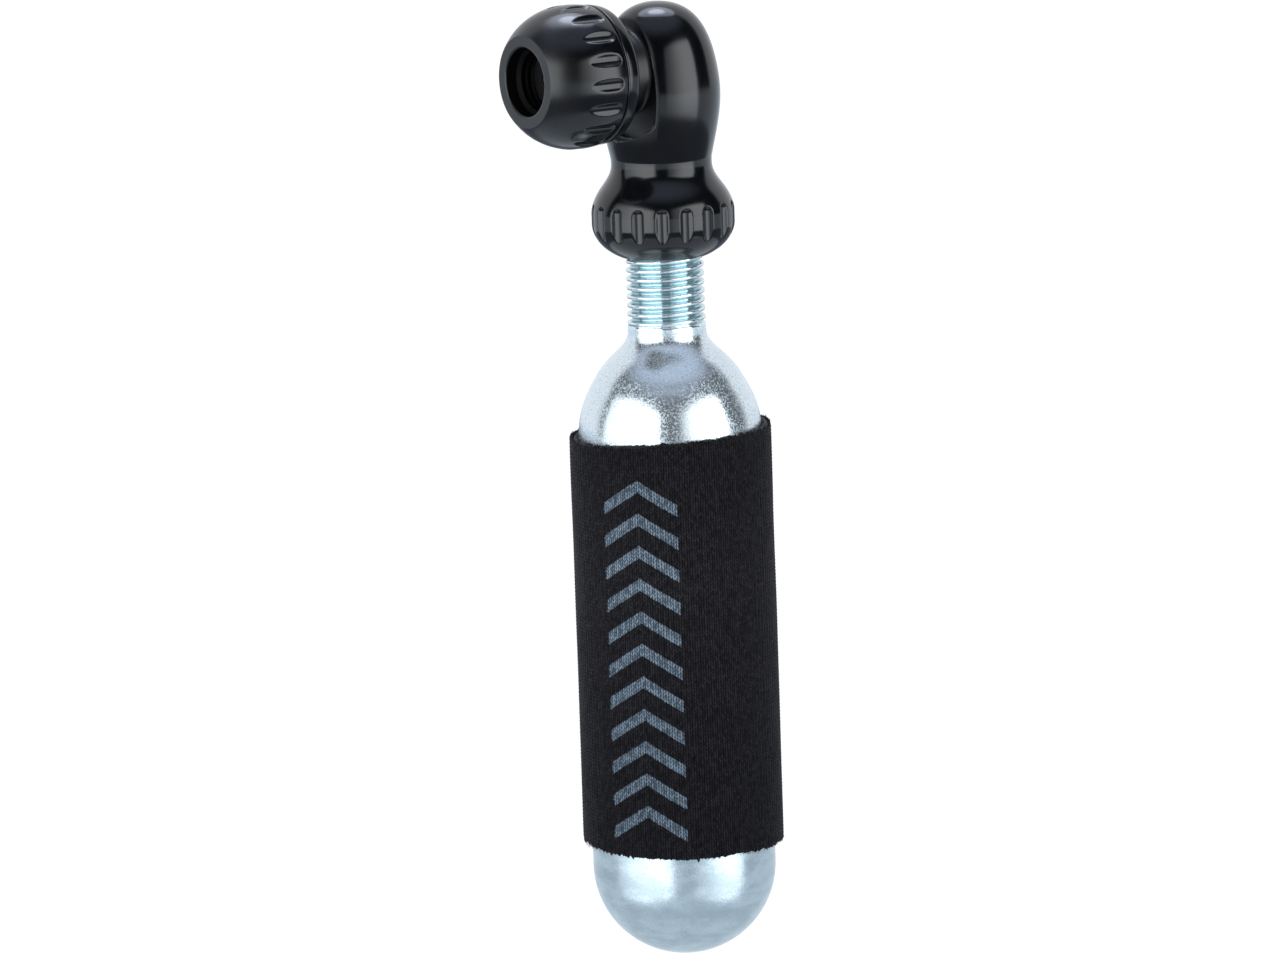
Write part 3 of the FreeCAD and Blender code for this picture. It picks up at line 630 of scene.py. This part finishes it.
# ---------------------------------------------------------------- materials
class Nodes:
    """Short ways to add nodes to a shader tree."""

    def __init__(self, owner, output):
        owner.use_nodes = True
        self.tree = owner.node_tree
        self.tree.nodes.clear()
        self.output = self.tree.nodes.new("ShaderNodeOutput" + output)

    def put(self, socket, value):
        if isinstance(value, bpy.types.NodeSocket):
            self.tree.links.new(value, socket)
        else:
            socket.default_value = value

    def node(self, kind, inputs, out=0, **settings):
        made = self.tree.nodes.new("ShaderNode" + kind)
        for key, value in settings.items():
            setattr(made, key, value)
        for key, value in inputs.items():
            self.put(made.inputs[key], value)
        return made.outputs[out]

    def math(self, operation, a, b=0.0, c=0.0):
        return self.node("Math", {0: a, 1: b, 2: c}, operation=operation)

    def noise(self, vector, scale, detail=3.0, roughness=0.5, out="Fac"):
        return self.node("TexNoise", {"Vector": vector, "Scale": scale, "Detail": detail,
                                      "Roughness": roughness}, out)

    def ramp(self, value, low, high, to_low=0.0, to_high=1.0):
        return self.node("MapRange", {"Value": value, "From Min": low, "From Max": high,
                                      "To Min": to_low, "To Max": to_high}, "Result",
                         interpolation_type="SMOOTHSTEP")

    def mix(self, factor, a, b):
        made = self.tree.nodes.new("ShaderNodeMix")
        made.data_type = "RGBA"
        self.put(made.inputs["Factor"], factor)
        self.put(made.inputs[6], a)
        self.put(made.inputs[7], b)
        return made.outputs[2]

    def axis(self, vector, which):
        return self.node("SeparateXYZ", {0: vector}, "XYZ".index(which))


class Paint(Nodes):
    """A material made of one Principled shader."""

    def __init__(self, name):
        self.material = bpy.data.materials.new(name)
        super().__init__(self.material, "Material")
        self.shader = self.tree.nodes.new("ShaderNodeBsdfPrincipled")
        self.put(self.output.inputs["Surface"], self.shader.outputs[0])

    def bump(self, height, distance_mm, strength=1.0):
        return self.node("Bump", {"Height": height, "Distance": distance_mm * MM,
                                  "Strength": strength})

    def place(self):
        """The point's place in the row frame, in millimetres."""
        where = self.node("TexCoord", {}, "Object")
        return self.node("VectorMath", {0: where, "Scale": 1 / MM}, operation="SCALE")

    def set(self, **values):
        for key, value in values.items():
            self.put(self.shader.inputs[key.replace("_", " ")], value)
        return self.material


def colour(red, green, blue):
    return (red, green, blue, 1.0)


BLACK_DARK = colour(0.0016, 0.0017, 0.0024)
BLACK_LIGHT = colour(0.0030, 0.0032, 0.0044)
# paler black for the ball's flat front face: a painted reflection of the left softbox
BLACK_FACE_SHEEN = colour(0.006, 0.0062, 0.0068)
BOSS_SHADE_Z = (-9.0, -7.0)
BOSS_MATT, FRONT_MATT = 0.24, 0.16      # roughness added on the head's flat and the ball's front


def black_anodised(name, lathe_axis, face_x=None, boss_x=None):
    """Glossy black anodised aluminium with fine turning lines round one axis.

    It is duller on the ball's front, from face_x on, and on the head's flat, up to boss_x.
    The ball's flat front face has a paler base colour, a painted reflection of the left softbox.
    """
    paint = Paint(name)
    where = paint.place()
    along = paint.axis(where, lathe_axis)
    lines = paint.node("CombineXYZ", {"X": along})
    fine = paint.noise(lines, 7.0, 4.0, 0.65)
    slow = paint.noise(where, 0.35, 2.0)
    grain = paint.noise(where, 14.0, 2.0)
    height = paint.math("MULTIPLY_ADD", fine, 0.75, paint.math("MULTIPLY", grain, 0.25))
    rough = paint.ramp(slow, 0.3, 0.7, 0.10, 0.14)
    rough = paint.math("ADD", rough, paint.math("MULTIPLY", fine, 0.04))
    tint = paint.mix(slow, BLACK_DARK, BLACK_LIGHT)
    if boss_x is not None:
        on_boss = paint.ramp(paint.axis(where, "X"), boss_x + 0.1, boss_x + 0.5, 1.0, 0.0)
        on_boss = paint.math("MULTIPLY", paint.ramp(paint.axis(where, "Z"), *BOSS_SHADE_Z), on_boss)
        rough = paint.math("MULTIPLY_ADD", on_boss, BOSS_MATT, rough)
    if face_x is not None:
        on_front = paint.ramp(along, face_x + 1.0, face_x + 4.4, 1.0, 0.0)
        rough = paint.math("MULTIPLY_ADD", on_front, FRONT_MATT, rough)
        # painted reflection: the ball's flat front face takes the paler black
        on_face_sheen = paint.ramp(along, face_x + 0.03, face_x + 0.09, 1.0, 0.0)
        tint = paint.mix(on_face_sheen, tint, BLACK_FACE_SHEEN)
    paint.set(Base_Color=tint, Roughness=rough, Metallic=0.0, IOR=1.47, Specular_IOR_Level=0.5,
              Normal=paint.bump(height, 0.0045))
    return paint.material


SILVER_DARK, SILVER_LIGHT = colour(0.66, 0.745, 0.80), colour(0.76, 0.82, 0.86)
DULL_DARK, DULL_LIGHT = colour(0.35, 0.415, 0.45), colour(0.455, 0.53, 0.57)
# the thread's bluish zinc, darkened as painted shade in the roots and lightened as a painted highlight on the
# crests
THREAD_ROOT_SHADE, THREAD_CREST_HIGHLIGHT = colour(0.38, 0.55, 0.60), colour(0.74, 0.83, 0.86)
SILVER_SPECK = colour(0.32, 0.44, 0.54)
DULL_SPECK = colour(0.24, 0.31, 0.36)
THREAD_SPECK = colour(0.12, 0.22, 0.25)
DULL_FROM_Z, DULL_BELOW_Z = -60.0, -88.0
SCUFF_STRETCH = 0.45         # less than 1 draws the scuffs out round the bottle


def zinc(name):
    """Bright zinc plate: spangled silver, bluer in the thread and duller towards the base; the thread has painted
    shade in its roots and a painted highlight on its crests.
    """
    paint = Paint(name)
    where = paint.place()
    up = paint.axis(where, "Z")
    cells = paint.noise(where, 1.4, 3.0, 0.6)
    specks = paint.noise(where, 4.2, 3.0, 0.6)
    clouds = paint.noise(where, 0.22, 3.0)
    scuffs = paint.noise(paint.node("CombineXYZ", {
        "X": paint.math("MULTIPLY", paint.axis(where, "X"), SCUFF_STRETCH),
        "Y": paint.math("MULTIPLY", paint.axis(where, "Y"), SCUFF_STRETCH),
        "Z": up}), 0.5, 4.0, 0.6)
    neck = paint.ramp(up, NECK_THREAD_END - 0.9, NECK_THREAD_END + 0.3)
    base = paint.ramp(up, DULL_BELOW_Z, DULL_FROM_Z, 1.0, 0.0)
    silver = paint.mix(clouds, SILVER_DARK, SILVER_LIGHT)
    silver = paint.mix(paint.ramp(specks, 0.45, 0.62, 0.0, 0.25), silver, SILVER_SPECK)
    dull = paint.mix(paint.ramp(scuffs, 0.36, 0.66), DULL_DARK, DULL_LIGHT)
    dull = paint.mix(paint.ramp(specks, 0.50, 0.62, 0.0, 0.30), dull, DULL_SPECK)
    silver = paint.mix(base, silver, dull)
    off_axis = paint.node("VectorMath", {0: where, 1: (AXIS_X, 0.0, 0.0)}, operation="SUBTRACT")
    flat = paint.node("VectorMath", {0: off_axis, 1: (1.0, 1.0, 0.0)}, operation="MULTIPLY")
    radius = paint.node("VectorMath", {0: flat}, "Value", operation="LENGTH")
    # painted shade in the thread's roots, painted highlight on its crests
    crest = paint.ramp(radius, NECK_ROOT_R + 0.05, NECK_CREST_R - 0.05)
    thread = paint.mix(crest, THREAD_ROOT_SHADE, THREAD_CREST_HIGHLIGHT)
    thread = paint.mix(paint.ramp(specks, 0.56, 0.66, 0.0, 0.6), thread, THREAD_SPECK)
    metal = paint.mix(neck, silver, thread)
    rough = paint.ramp(cells, 0.35, 0.65, 0.09, 0.14)
    plain = paint.math("MAXIMUM", neck, paint.math("MULTIPLY", base, 0.8))
    matt = paint.math("MULTIPLY", paint.ramp(specks, 0.42, 0.66),
                      paint.ramp(plain, 0.0, 1.0, 1.0, 0.0))
    rough = paint.math("MULTIPLY_ADD", matt, 0.30, rough)
    rough = paint.math("MULTIPLY_ADD", base, 0.07, rough)
    height = paint.math("MULTIPLY_ADD", cells, 0.3, paint.math("MULTIPLY", specks, 0.7))
    paint.set(Base_Color=metal, Metallic=0.86, Roughness=rough,
              Normal=paint.bump(height, 0.018, paint.ramp(neck, 0.0, 1.0, 1.0, 0.3)))
    return paint.material


def stitch_shading(paint, place):
    """Painted shade and highlight of the knit: 0 in the gaps between the legs of the stitches, where shade is
    painted, and 1 on the yarn, where a highlight is painted; each stitch also gets a random tone.
    """
    wale = paint.math("FRACT", paint.axis(place, "Z"))
    half = paint.math("ABSOLUTE", paint.math("MULTIPLY_ADD", wale, 2.0, -1.0))
    legs = paint.math("SINE", paint.math("MULTIPLY", half, math.pi))
    course = paint.math("DIVIDE", paint.axis(place, "Y"), COURSE)
    strand = paint.math("FRACT", paint.math("MULTIPLY_ADD", half, -LEAN, course))
    yarn = paint.math("SINE", paint.math("MULTIPLY", strand, math.pi))
    shade = paint.math("MULTIPLY", legs, paint.math("MULTIPLY_ADD", yarn, 0.85, 0.15))
    side = paint.math("FLOOR", paint.math("MULTIPLY", paint.axis(place, "Z"), 2.0))
    row = paint.math("FLOOR", paint.math("MULTIPLY_ADD", half, -LEAN, course))
    chance = paint.node("TexWhiteNoise", {"Vector": paint.node(
        "CombineXYZ", {"X": side, "Y": row})}, "Value", noise_dimensions="2D")
    return paint.math("MULTIPLY", shade, paint.math("MULTIPLY_ADD", chance, 1.1, 0.45))


def chevrons(paint, place):
    """A plain stack of chevrons printed on the sleeve."""
    period, stroke, count, slope, half_width = 3.93, 1.45, 10, 0.62, 4.75
    blur = 0.07
    across = paint.math("ABSOLUTE", paint.math("ADD", paint.axis(place, "X"), 0.15))
    lean = paint.math("MULTIPLY_ADD", across, slope, paint.axis(place, "Y"))
    first = SLEEVE_BOTTOM_Z + 5.1
    last = first + count * period + stroke
    beat = paint.math("WRAP", paint.math("SUBTRACT", lean, first), period, 0.0)
    ink = paint.ramp(beat, stroke - blur, stroke + blur, 1.0, 0.0)
    for value, edge, inside in ((across, half_width, 0.0), (lean, last, 0.0), (lean, first, 1.0)):
        ink = paint.math("MULTIPLY", ink,
                         paint.ramp(value, edge - blur, edge + blur, 1.0 - inside, inside))
    return ink


# On the printed face the dark yarn is painted shade in the gaps between stitches and the light yarn a painted
# highlight along them; elsewhere they are the fibres' random tone.
YARN_DARK_AND_GAP_SHADE, YARN_LIGHT_AND_HIGHLIGHT = colour(0.0006, 0.0006, 0.0009), colour(0.025, 0.0235, 0.028)
YARN_PATCH = colour(0.012, 0.011, 0.013)
# the ink's shaded and lit copies: painted shade in the stitches' gaps, painted highlight along the yarn
SLATE_SHADED, SLATE_LIT = colour(0.026, 0.037, 0.050), colour(0.185, 0.235, 0.290)


def knit_cloth(name, printed):
    """Black jersey; where printed, it shows its stitches, with painted shade in their gaps and a painted highlight
    along the yarn, and carries the stack of chevrons.
    """
    paint = Paint(name)
    where = paint.place()
    fibres = paint.noise(where, 10.0, 4.0, 0.7)
    patches = paint.noise(where, 0.45, 3.0)
    light = fibres
    if printed:
        place = paint.node("Attribute", {}, "Vector", attribute_name="sleeve_place",
                           attribute_type="GEOMETRY")
        uneven = paint.ramp(paint.noise(where, 2.2, 2.0), 0.3, 0.7, 0.55, 1.0)
        # painted shade and highlight from the stitches, times random unevenness and fibre tone
        light = paint.math("MULTIPLY", paint.math("MULTIPLY", stitch_shading(paint, place), uneven),
                           paint.ramp(fibres, 0.2, 0.8, 0.6, 1.3))
    cloth = paint.mix(light, YARN_DARK_AND_GAP_SHADE, YARN_LIGHT_AND_HIGHLIGHT)
    cloth = paint.mix(paint.math("MULTIPLY", patches, 0.12), cloth, YARN_PATCH)
    if printed:
        wander = paint.noise(place, 3.2, 2.0, out="Color")
        moved = paint.node("VectorMath", {0: wander, 1: (0.30, 0.30, 0.0), 2: place},
                           operation="MULTIPLY_ADD")
        # the ink gets the same painted shade and highlight
        slate = paint.mix(paint.ramp(light, 0.0, 0.8), SLATE_SHADED, SLATE_LIT)
        cloth = paint.mix(chevrons(paint, moved), cloth, slate)
    paint.set(Base_Color=cloth, Roughness=0.9, Sheen_Weight=0.13, Sheen_Roughness=0.3,
              Specular_IOR_Level=0.10, Normal=paint.bump(fibres, 0.05, 0.6))
    return paint.material


def rubber(name, shade=0.012, rough=0.55, shine=0.5):
    """Near-black rubber or foam, with fine pores."""
    paint = Paint(name)
    where = paint.place()
    pores = paint.noise(where, 12.0, 3.0)
    tint = paint.mix(pores, colour(shade * 0.7, shade * 0.7, shade * 0.75),
                     colour(shade * 1.4, shade * 1.4, shade * 1.45))
    paint.set(Base_Color=tint, Roughness=paint.ramp(pores, 0.3, 0.7, rough - 0.08, rough + 0.1),
              Specular_IOR_Level=shine, Normal=paint.bump(pores, 0.01))
    return paint.material


def turned_metal(name, shade, lathe_axis, rough=0.25):
    """Plain turned metal for the working parts inside the head."""
    paint = Paint(name)
    where = paint.place()
    lines = paint.node("CombineXYZ", {"X": paint.axis(where, lathe_axis)})
    fine = paint.noise(lines, 8.0, 4.0, 0.6)
    spots = paint.noise(where, 1.2, 3.0)
    tint = paint.mix(spots, shade, colour(*(0.8 * value for value in shade[:3])))
    paint.set(Base_Color=tint, Metallic=1.0,
              Roughness=paint.ramp(fine, 0.3, 0.7, rough - 0.06, rough + 0.08),
              Normal=paint.bump(fine, 0.004))
    return paint.material


def dress(piece, material):
    """Gives a piece one material."""
    piece.data.materials.clear()
    piece.data.materials.append(material)


MOUTH_FROM_X = 0.2           # the ball's rim, up to here, keeps its own black


def shade_mouth_inside(piece, material):
    """Gives the faces inside the chuck's mouth a material of their own, which paints the shade inside the hole."""
    piece.data.materials.append(material)
    for face in piece.data.polygons:
        x, y, z = (value / MM for value in face.center)
        if MOUTH_FROM_X < x < BALL_X and math.hypot(y, z) < BALL_FACE_R:
            face.material_index = 1


# ---------------------------------------------------------------- build
head_piece = head()
ball_piece = ball()
ring_piece = rear_ring()
bottle_piece = cartridge()
lining_piece, foam_piece, knit_piece = sleeve()
fibre_piece = fuzz()
place_on_sleeve(knit_piece)

dress(head_piece, black_anodised("anodised_head", "Z", boss_x=FACE_X))
dress(ball_piece, black_anodised("anodised_ball", "X", face_x=0.0))
# painted shade: the inside of the mouth gets a near-black, dull, almost unshining material instead of the anodised
# finish
shade_mouth_inside(ball_piece, rubber("mouth_painted_shade", 0.0015, 0.55, 0.06))
dress(ring_piece, black_anodised("anodised_ring", "X"))
dress(bottle_piece, zinc("zinc_plate"))
dress(knit_piece, knit_cloth("jersey_face", True))
dress(lining_piece, knit_cloth("jersey_lining", False))
dress(fibre_piece, knit_cloth("loose_fibres", False))
dress(foam_piece, rubber("foam_rubber", 0.010, 0.8))

BRASS = colour(0.78, 0.56, 0.26)
seal_rubber = rubber("nitrile_rubber")
carried_over = {
    "lance_carrier": turned_metal("turned_brass", BRASS, "Z"),
    "piercing_lance": turned_metal("ground_steel", colour(0.60, 0.60, 0.60), "Z"),
    "core_depressor": turned_metal("turned_brass_pin", BRASS, "X"),
    "carrier_o_ring": seal_rubber,
    "cartridge_face_seal": seal_rubber,
    "spigot_o_ring": seal_rubber,
    "shank_o_ring": seal_rubber,
    # darker and duller than the other seals: its own black rubber with painted shade, deep in the chuck's mouth
    "valve_gasket": rubber("gasket_rubber", 0.004, 0.6, 0.12),
    "threaded_spigot": black_anodised("anodised_spigot", "X"),
    "cartridge_seal_cap": turned_metal("zinc_cap", colour(0.72, 0.75, 0.77), "Z"),
    "sleeve_seam_thread": knit_cloth("seam_polyester", False),
}
for node, material in carried_over.items():
    dress(NODES[node], material)


# ---------------------------------------------------------------- studio
def towards(azimuth, elevation):
    """A direction, from degrees: azimuth towards the picture's right, and elevation."""
    a, e = math.radians(azimuth), math.radians(elevation)
    flat = TOWARDS_CAMERA * math.cos(a) + CAMERA_RIGHT * math.sin(a)
    return flat * math.cos(e) + np.array([0, 0, math.sin(e)])


FEATHER = 0.08               # share of a softbox's side that its edge fades over


def feather(light, dim_side):
    """Soft edges for a softbox, which dims to dim_side on one side and below its middle."""
    nodes = Nodes(light, "Light")
    place = nodes.node("NewGeometry", {}, "Parametric")
    across = nodes.ramp(nodes.axis(place, "X"), 0.05, 0.65, dim_side, 1.0)
    upwards = nodes.ramp(nodes.axis(place, "Y"), 0.28, 0.62, 0.45, 1.0)
    strength = nodes.math("MULTIPLY", across, upwards)
    for which in "XY":
        value = nodes.axis(place, which)
        near = nodes.math("MINIMUM", value, nodes.math("SUBTRACT", 1.0, value))
        strength = nodes.math("MULTIPLY", strength, nodes.ramp(near, 0.0, FEATHER))
    glow = nodes.node("Emission", {"Color": colour(1.0, 1.0, 1.0), "Strength": strength})
    nodes.put(nodes.output.inputs["Surface"], glow)


def panel(name, azimuth, elevation, distance, width, height, radiance, tint, centre,
          shape="RECTANGLE"):
    """A softbox that faces centre, whose power is set from how bright it should look."""
    light = bpy.data.lights.new(name, "AREA")
    light.shape = shape
    light.size, light.size_y = width, height
    area = width * height * (math.pi / 4 if shape == "ELLIPSE" else 1.0)
    light.energy = radiance * math.pi * area
    light.color = tint
    holder = bpy.data.objects.new(name, light)
    bpy.context.scene.collection.objects.link(holder)
    way = Vector(towards(azimuth, elevation))
    holder.location = Vector(centre) + way * distance
    holder.rotation_euler = way.to_track_quat("Z", "Y").to_euler()
    holder.visible_camera = False
    return holder


HEAD_CENTRE = (AXIS_X * MM, 0.0, -0.015)
BOTTLE_CENTRE = (AXIS_X * MM, 0.0, -0.085)
SOFTBOX_WHITE = (0.96, 0.99, 1.0)
SOFTBOX_AWAY, SOFTBOX_HEIGHT, SOFTBOX_RADIANCE = 0.6, 1.05, 3.7
WHITE_BACKDROP = colour(1.05, 1.05, 1.05)       # as the camera sees the world and the floor
for name, azimuth, width, dim_side in (("softbox_left", -54, 1.04, 0.4),
                                       ("softbox_right", 46, 0.81, 0.22)):
    softbox = panel(name, azimuth, 0, SOFTBOX_AWAY, width, SOFTBOX_HEIGHT, SOFTBOX_RADIANCE,
                    SOFTBOX_WHITE, BOTTLE_CENTRE)
    feather(softbox.data, dim_side)
panel("top_core", 180, 71, 0.8, 0.30, 0.26, 7.0, (0.78, 0.83, 1.0), HEAD_CENTRE, "ELLIPSE")
panel("top_halo", 180, 70, 0.8, 0.70, 0.50, 3.6, (0.74, 0.80, 1.0), HEAD_CENTRE, "ELLIPSE")


COVE_WHITE = colour(0.93, 0.96, 1.0)
ROOM_DARK = colour(0.018, 0.021, 0.026)
CEILING_PALE = colour(0.54, 0.62, 0.78)
ROOM_AZIMUTH = 4.0           # degrees; the side that the dark room is on


def studio_world():
    """A white cove behind the object, and a dark room with a pale ceiling in front of it.

    The camera sees plain white everywhere.
    """
    world = bpy.data.worlds.new("studio")
    bpy.context.scene.world = world
    nodes = Nodes(world, "World")
    way = nodes.node("TexCoord", {}, "Generated")
    facing = nodes.node("VectorMath", {0: way, 1: towards(ROOM_AZIMUTH, 0.0)}, "Value",
                        operation="DOT_PRODUCT")
    cove = nodes.ramp(facing, -0.37, -0.26, 1.0, 0.0)
    ceiling = nodes.math("MULTIPLY", nodes.ramp(nodes.axis(way, "Z"), 0.64, 0.92),
                         nodes.ramp(facing, -0.35, 0.05, 0.55, 1.0))
    room = nodes.mix(ceiling, ROOM_DARK, CEILING_PALE)
    lit = nodes.node("Background", {"Color": nodes.mix(cove, room, COVE_WHITE)})
    plain = nodes.node("Background", {"Color": WHITE_BACKDROP})
    seen = nodes.node("LightPath", {}, "Is Camera Ray")
    nodes.put(nodes.output.inputs["Surface"],
              nodes.node("MixShader", {0: seen, 1: lit, 2: plain}))


def studio_piece(name, points, faces, material, in_view=True):
    """A piece of the studio, given in metres."""
    mesh = bpy.data.meshes.new(name)
    mesh.from_pydata(points, [], faces)
    piece = bpy.data.objects.new(name, mesh)
    bpy.context.scene.collection.objects.link(piece)
    dress(piece, material)
    piece.visible_camera = in_view


def glowing(name, emission):
    """A material that only glows; emission makes its colour from the paint it is given."""
    paint = Paint(name)
    paint.set(Base_Color=colour(0.0, 0.0, 0.0), Roughness=1.0, Specular_IOR_Level=0.0,
              Emission_Color=emission(paint), Emission_Strength=1.0)
    return paint.material


def grey_card():
    """A faintly glowing ring low round the object, hidden from the camera.

    The head's undersides reflect it where they would otherwise reflect the softboxes.
    """
    inner, outer, level, sides = 0.057, 0.155, -0.060, 96
    points = [(AXIS_X * MM + r * math.cos(a), r * math.sin(a), level)
              for r in (inner, outer) for a in (TAU * k / sides for k in range(sides))]
    material = glowing("card_grey", lambda paint: colour(0.19, 0.22, 0.26))
    studio_piece("grey_card", points, ring_faces(2, sides, False), material, in_view=False)


def floor():
    """A plain pale floor well below the object."""
    half, level = 12.0, -0.75
    corners = [(x * half, y * half, level) for x, y in ((-1, -1), (1, -1), (1, 1), (-1, 1))]
    material = glowing("floor_white", lambda paint: paint.mix(
        paint.node("LightPath", {}, "Is Camera Ray"), colour(0.80, 0.90, 1.00), WHITE_BACKDROP))
    studio_piece("floor", corners, [(0, 1, 2, 3)], material)


def camera():
    """A long lens at the height and side that the product is shown from."""
    distance, elevation, roll = 0.900, 9.86, -1.95       # metres, and degrees
    aim_height, aim_shift = -0.04958, -0.00382          # metres, from the cartridge's axis
    aim = Vector((AXIS_X * MM, 0, aim_height)) + Vector(CAMERA_RIGHT) * aim_shift
    data = bpy.data.cameras.new("camera")
    data.lens = 211.46
    data.sensor_width = 36.0
    data.clip_start, data.clip_end = 0.05, 60.0
    holder = bpy.data.objects.new("camera", data)
    bpy.context.scene.collection.objects.link(holder)
    way = Vector(towards(0, elevation))
    right = Vector(CAMERA_RIGHT)
    up = way.cross(right)
    turn = math.radians(roll)
    side = right * math.cos(turn) + up * math.sin(turn)
    top = up * math.cos(turn) - right * math.sin(turn)
    holder.matrix_world = Matrix.Translation(aim + way * distance) @ Matrix(
        (side, top, way)).transposed().to_4x4()
    bpy.context.scene.camera = holder


studio_world()
floor()
grey_card()
camera()
bpy.context.scene.view_settings.view_transform = "Standard"
